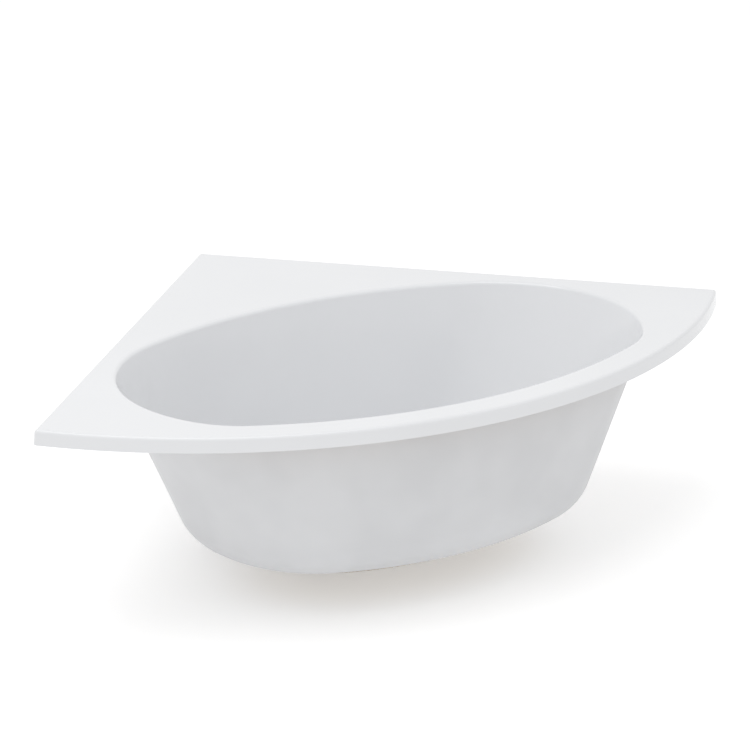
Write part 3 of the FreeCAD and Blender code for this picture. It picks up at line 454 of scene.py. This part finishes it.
def paint(material, *pieces):
    """Puts a material in the first slot of each piece."""
    for piece in pieces:
        slots = piece.data.materials
        if slots:
            slots[0] = material
        else:
            slots.append(material)


acrylic, tree, shader, vector = new_material("white_acrylic")
drift = mottled(tree, vector, broad=2.2, fine=9.0)
blend_colour(tree, shader, drift.outputs["Broad"], ((0.792, 0.800, 0.816), (0.812, 0.820, 0.836)))
spread(tree, drift.outputs["Fine"], (0.14, 0.24), shader.inputs["Roughness"])
relief(tree, shader, drift.outputs["Broad"], depth=0.0006, strength=0.25)
shader.inputs["IOR"].default_value = 1.49
shader.inputs["Coat Weight"].default_value = 0.25
shader.inputs["Coat Roughness"].default_value = 0.05

backing_and_shade, tree, shader, vector = new_material("glass_fibre_backing_and_shade")
drift = mottled(tree, vector, broad=6.0, fine=220.0)
fibres = cells(tree, vector, 70.0, "DISTANCE_TO_EDGE")
# Painted shade in part: this colour is set darker than the acrylic's to stand for the shade on the shell's
# underside.
blend_colour(tree, shader, drift.outputs["Broad"], ((0.685, 0.692, 0.707), (0.725, 0.732, 0.747)))
spread(tree, drift.outputs["Fine"], (0.42, 0.62), shader.inputs["Roughness"])
relief(tree, shader, fibres.outputs["Distance"], depth=0.0004, strength=0.2)

for material in (acrylic, backing_and_shade):
    shell.data.materials.append(material)

# ---------------------------------------------------------------- base board
# An oval of particle board bonded under the flat of the floor and sealed with milky resin.
# Its flakes show through the resin as faint warm specks.
particle_board, tree, shader, vector = new_material("sealed_particle_board")
drift = mottled(tree, vector, broad=9.0, fine=240.0)
flakes = cells(tree, vector, 260.0)
blend_colour(tree, shader, flakes.outputs["Color"], ((0.44, 0.38, 0.31), (0.66, 0.61, 0.54)), (0.1, 0.9))
spread(tree, drift.outputs["Fine"], (0.45, 0.75), shader.inputs["Roughness"])
relief(tree, shader, flakes.outputs["Distance"], depth=0.0005, strength=0.5)
paint(particle_board, nodes["base_board"])


# ---------------------------------------------------------------- battens
# Planed softwood lengths stiffen the deck from below, two along the walls and one round the front.
# They are bonded in with resin, and the grain runs along each batten.
GRAIN_STRETCH = (2.5, 60.0, 60.0)


def softwood(name, angle):
    """Planed softwood whose grain runs at an angle in plan."""
    material, tree, shader, vector = new_material(name)
    turn = tree.nodes.new("ShaderNodeVectorRotate")
    turn.rotation_type = "Z_AXIS"
    turn.inputs["Angle"].default_value = -angle
    tree.links.new(vector, turn.inputs["Vector"])
    along = tree.nodes.new("ShaderNodeMapping")
    along.inputs["Scale"].default_value = GRAIN_STRETCH
    tree.links.new(turn.outputs["Vector"], along.inputs["Vector"])
    grain = tree.nodes.new("ShaderNodeTexNoise")
    grain.inputs["Scale"].default_value = 1.6
    grain.inputs["Detail"].default_value = 6.0
    grain.inputs["Distortion"].default_value = 0.6
    tree.links.new(along.outputs["Vector"], grain.inputs["Vector"])
    blend_colour(tree, shader, grain.outputs["Fac"], ((0.40, 0.24, 0.11), (0.66, 0.46, 0.26)), (0.3, 0.7))
    spread(tree, grain.outputs["Fac"], (0.5, 0.75), shader.inputs["Roughness"])
    relief(tree, shader, grain.outputs["Fac"], depth=0.0004, strength=0.5)
    return material


for side, angle in (("right", -WALL_TURN), ("left", WALL_TURN), ("front", 0)):
    paint(softwood("softwood_" + side, angle), nodes["rim_batten_" + side])


# ---------------------------------------------------------------- wall brackets and screws
# Pressed steel angles and their self-tapping screws, all bright zinc plated.
# Zinc plate is grey with a faint cloudy spangle.
def mottled_material(name, broad, fine, shades, roughness, metallic=0.0, depth=0.0, strength=0.0):
    """A material whose colour drifts broadly and whose roughness varies finely, with relief if deep."""
    material, tree, shader, vector = new_material(name)
    drift = mottled(tree, vector, broad, fine)
    blend_colour(tree, shader, drift.outputs["Broad"], shades)
    spread(tree, drift.outputs["Fine"], roughness, shader.inputs["Roughness"])
    if depth:
        relief(tree, shader, drift.outputs["Fine"], depth, strength)
    shader.inputs["Metallic"].default_value = metallic
    return material


zinc = mottled_material("bright_zinc_plate", broad=45.0, fine=420.0, roughness=(0.24, 0.42), metallic=1.0,
                        shades=((0.44, 0.45, 0.47), (0.60, 0.61, 0.62)), depth=0.0001, strength=0.3)
paint(zinc, nodes["wall_bracket_left"], nodes["wall_bracket_right"], nodes["bracket_screws"])

# ---------------------------------------------------------------- leg bars
# Two folded steel channels, powder coated satin black and screwed up into the base board.
# The coating has the fine orange-peel of baked powder.
powder_coat = mottled_material("black_powder_coat", broad=12.0, fine=900.0, roughness=(0.32, 0.5),
                               shades=((0.012, 0.012, 0.013), (0.022, 0.022, 0.024)),
                               depth=0.0002, strength=0.35)
paint(powder_coat, nodes["leg_bar_left"], nodes["leg_bar_right"])
paint(zinc, nodes["leg_bar_screws"])

# ---------------------------------------------------------------- feet
# Each foot is a zinc-plated threaded rod in two nuts, on a moulded nylon pad.
# The rod's thread is a wave in the surface, one turn every millimetre and a half, with painted shade
# darkening its grooves.
THREAD_PITCH = 0.0015
threaded_with_groove_shade, tree, shader, vector = new_material("zinc_thread_and_groove_shade")
drift = mottled(tree, vector, broad=60.0, fine=500.0)
thread_and_groove_shade = tree.nodes.new("ShaderNodeTexWave")
thread_and_groove_shade.bands_direction = "Z"
thread_and_groove_shade.wave_profile = "TRI"
thread_and_groove_shade.inputs["Scale"].default_value = math.pi / (10 * THREAD_PITCH)
tree.links.new(vector, thread_and_groove_shade.inputs["Vector"])
# Painted shade: the colour runs dark in the thread's grooves and light on its crests.
blend_colour(tree, shader, thread_and_groove_shade.outputs["Fac"], ((0.20, 0.20, 0.21), (0.60, 0.61, 0.62)), (0.0, 0.5))
spread(tree, drift.outputs["Fine"], (0.26, 0.44), shader.inputs["Roughness"])
relief(tree, shader, thread_and_groove_shade.outputs["Fac"], depth=0.0009, strength=0.9)
shader.inputs["Metallic"].default_value = 1.0

nylon = mottled_material("black_nylon", broad=20.0, fine=700.0, roughness=(0.4, 0.6),
                         shades=((0.014, 0.014, 0.015), (0.026, 0.026, 0.028)), depth=0.00015, strength=0.4)

for foot in ("foot_front_left", "foot_front_right", "foot_rear_left", "foot_rear_right"):
    paint(nylon, nodes[foot + "_pad"])
    paint(threaded_with_groove_shade, nodes[foot + "_rod"])
    paint(zinc, nodes[foot + "_weld_nut"], nodes[foot + "_lock_nut"])

# ---------------------------------------------------------------- waste
# A chromed brass flange and tail clamp the floor between two rubber seals and a moulded back nut.
# The chrome carries faint polishing marks.
chrome = mottled_material("polished_chrome", broad=30.0, fine=900.0, roughness=(0.04, 0.11), metallic=1.0,
                          shades=((0.72, 0.73, 0.74), (0.80, 0.81, 0.82)))
rubber = mottled_material("black_rubber", broad=25.0, fine=800.0, roughness=(0.6, 0.8),
                          shades=((0.012, 0.012, 0.012), (0.024, 0.024, 0.024)), depth=0.0001, strength=0.4)
moulding = mottled_material("white_moulding", broad=14.0, fine=600.0, roughness=(0.35, 0.5),
                            shades=((0.70, 0.70, 0.68), (0.76, 0.76, 0.74)), depth=0.0001, strength=0.3)
paint(chrome, nodes["waste_body"])
paint(rubber, nodes["flange_seal"], nodes["under_seal"])
paint(moulding, nodes["back_nut"])

# ---------------------------------------------------------------- plug
# The plug's chromed cap and rubber seal sit on a brass plunger, which slides in a turned brass barrel.
# A stainless spring lifts it. It is copied here at one fixed length and does not shorten with the plug's
# stroke.
brass = mottled_material("turned_brass", broad=60.0, fine=700.0, roughness=(0.2, 0.38), metallic=1.0,
                         shades=((0.58, 0.41, 0.16), (0.72, 0.53, 0.24)))
stainless = mottled_material("stainless_wire", broad=80.0, fine=900.0, roughness=(0.2, 0.34), metallic=1.0,
                             shades=((0.45, 0.45, 0.45), (0.56, 0.56, 0.56)))
paint(chrome, nodes["plug_cap"])
paint(rubber, nodes["plug_seal"])
paint(brass, nodes["clicker_barrel"], nodes["plug_plunger"])

WIRE_MERGE_REACH = 1e-6
make_active(nodes["clicker_spring"])
bpy.ops.object.duplicate()
spring = bpy.context.active_object
spring.name = "return_spring"
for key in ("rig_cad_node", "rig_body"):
    del spring[key]
merge_close(spring, WIRE_MERGE_REACH)
bpy.ops.object.shade_smooth_by_angle(angle=SMOOTH_ANGLE)
paint(stainless, spring)
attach(spring, "bath")
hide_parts("clicker_spring")
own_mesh(spring)

# ---------------------------------------------------------------- trap
# A shallow moulded trap hangs from the waste by its union nut, with a cleaning cap and an outlet nut.
# A rubber washer or seal closes each of its joints.
paint(moulding, nodes["trap_body"], nodes["trap_union_nut"], nodes["clean_cap"], nodes["outlet_nut"])
paint(rubber, nodes["trap_washer"], nodes["clean_cap_seal"], nodes["outlet_seal"])

# ---------------------------------------------------------------- floor, light and camera
# A plain pale floor under a bright even room, with one large soft lamp for the highlights.
# The camera stands where the photograph was taken from, left of the front and above the deck.
STUDIO_WIDTH = 60
FLOOR_GLOW = 0.17
FLOOR_LIFT = 0.33
ROOM_LIGHT = 0.73
ROOM_WHITE = 1.0
LAMP_PLACE = Vector((-1.2, -0.5, 5.0))
LAMP_AIM = Vector((0, 0, 0.4))
LAMP_WIDTH = 4.0
LAMP_POWER = 80
CAMERA_AZIMUTH = math.radians(-32.024)
CAMERA_ELEVATION = math.radians(19.576)
CAMERA_DISTANCE = 7.882
CAMERA_LENS = 157.09
CAMERA_SENSOR = 36
CAMERA_REACH = 100
CAMERA_AIM = Vector((-0.1201, -0.3665, DECK))


def seen_directly(tree):
    """1 where the camera, a mirror or a clear piece looks straight at a surface, and 0 for its light."""
    path = tree.nodes.new("ShaderNodeLightPath")
    seen = path.outputs["Is Camera Ray"]
    for kind in ("Is Glossy Ray", "Is Transmission Ray"):
        either = tree.nodes.new("ShaderNodeMath")
        either.operation = "MAXIMUM"
        tree.links.new(seen, either.inputs[0])
        tree.links.new(path.outputs[kind], either.inputs[1])
        seen = either.outputs["Value"]
    return seen


deselect_all()
bpy.ops.mesh.primitive_plane_add(size=STUDIO_WIDTH, location=(0, 0, 0))
ground = bpy.context.active_object
ground.name = "studio_floor"
floor_paint, tree, shader, _ = new_material("pale_floor")
shader.inputs["Base Color"].default_value = (0.9, 0.9, 0.9, 1)
shader.inputs["Roughness"].default_value = 0.9
shader.inputs["Specular IOR Level"].default_value = 0.0
shader.inputs["Emission Color"].default_value = (1, 1, 1, 1)
spread(tree, seen_directly(tree), (FLOOR_GLOW, FLOOR_LIFT), shader.inputs["Emission Strength"])
paint(floor_paint, ground)

world = bpy.data.worlds.new("studio")
bpy.context.scene.world = world
world.use_nodes = True
tree = world.node_tree
room = tree.nodes["Background"]
room.inputs["Color"].default_value = (1, 1, 1, 1)
spread(tree, seen_directly(tree), (ROOM_LIGHT, ROOM_WHITE), room.inputs["Strength"])

deselect_all()
bpy.ops.object.light_add(type="AREA", location=LAMP_PLACE)
lamp = bpy.context.active_object
lamp.name = "key_lamp"
lamp.data.shape = "SQUARE"
lamp.data.size = LAMP_WIDTH
lamp.data.energy = LAMP_POWER
lamp.rotation_euler = (LAMP_AIM - LAMP_PLACE).to_track_quat("-Z", "Y").to_euler()

towards = Vector((math.sin(CAMERA_AZIMUTH) * math.cos(CAMERA_ELEVATION),
                  -math.cos(CAMERA_AZIMUTH) * math.cos(CAMERA_ELEVATION), math.sin(CAMERA_ELEVATION)))
deselect_all()
bpy.ops.object.camera_add(location=CAMERA_AIM + towards * CAMERA_DISTANCE)
camera = bpy.context.active_object
camera.rotation_euler = (-towards).to_track_quat("-Z", "Y").to_euler()
camera.data.lens = CAMERA_LENS
camera.data.sensor_width = CAMERA_SENSOR
camera.data.clip_end = CAMERA_REACH
bpy.context.scene.camera = camera
bpy.context.scene.view_settings.view_transform = "Standard"
